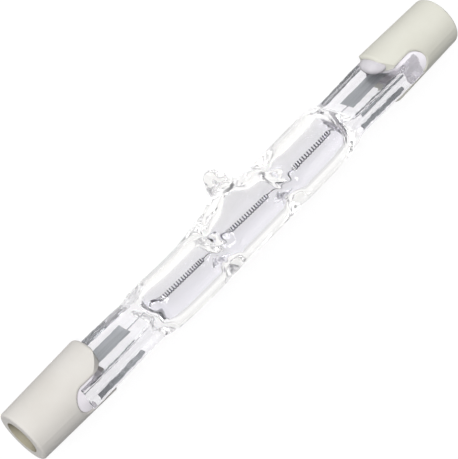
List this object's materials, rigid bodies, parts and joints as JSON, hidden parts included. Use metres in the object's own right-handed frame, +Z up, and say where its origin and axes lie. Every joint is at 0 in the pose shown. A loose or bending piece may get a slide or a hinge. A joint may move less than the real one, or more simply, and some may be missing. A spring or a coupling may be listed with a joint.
{
  "type": "linear halogen bulb",
  "caption": "Double-ended linear halogen bulb: clear quartz tube with crimped waists, pinch seals and a sealed exhaust tip, a coiled filament inside, and ceramic ends with recessed contacts.",
  "frame": {"origin": "middle of the lamp, on the axis of its ceramic ends", "axes": "+X along the lamp to its right end, +Z up as the lamp lies at rest, -Y forward on the side of the exhaust tip; the flat pinch seals stand in the XZ plane"},
  "size_m": [0.0782, 0.0109, 0.0086],
  "materials": {
    "quartz": "clear fused quartz",
    "tungsten": "dark drawn tungsten wire",
    "molybdenum_foil": "rolled molybdenum foil",
    "lead_wire": "drawn molybdenum wire",
    "ceramic": "unglazed steatite, warm off-white",
    "contact": "dull plated contact",
    "cement": "white refractory cement"
  },
  "bodies": {
    "root": {"quartz_envelope": "quartz", "filament": "tungsten", "right_foil": "molybdenum_foil", "left_foil": "molybdenum_foil", "right_inner_lead": "lead_wire", "left_inner_lead": "lead_wire", "right_outer_lead": "lead_wire", "left_outer_lead": "lead_wire", "right_ceramic_base": "ceramic", "left_ceramic_base": "ceramic", "right_contact": "contact", "left_contact": "contact", "right_cement": "cement", "left_cement": "cement"}
  },
  "joints": []
}
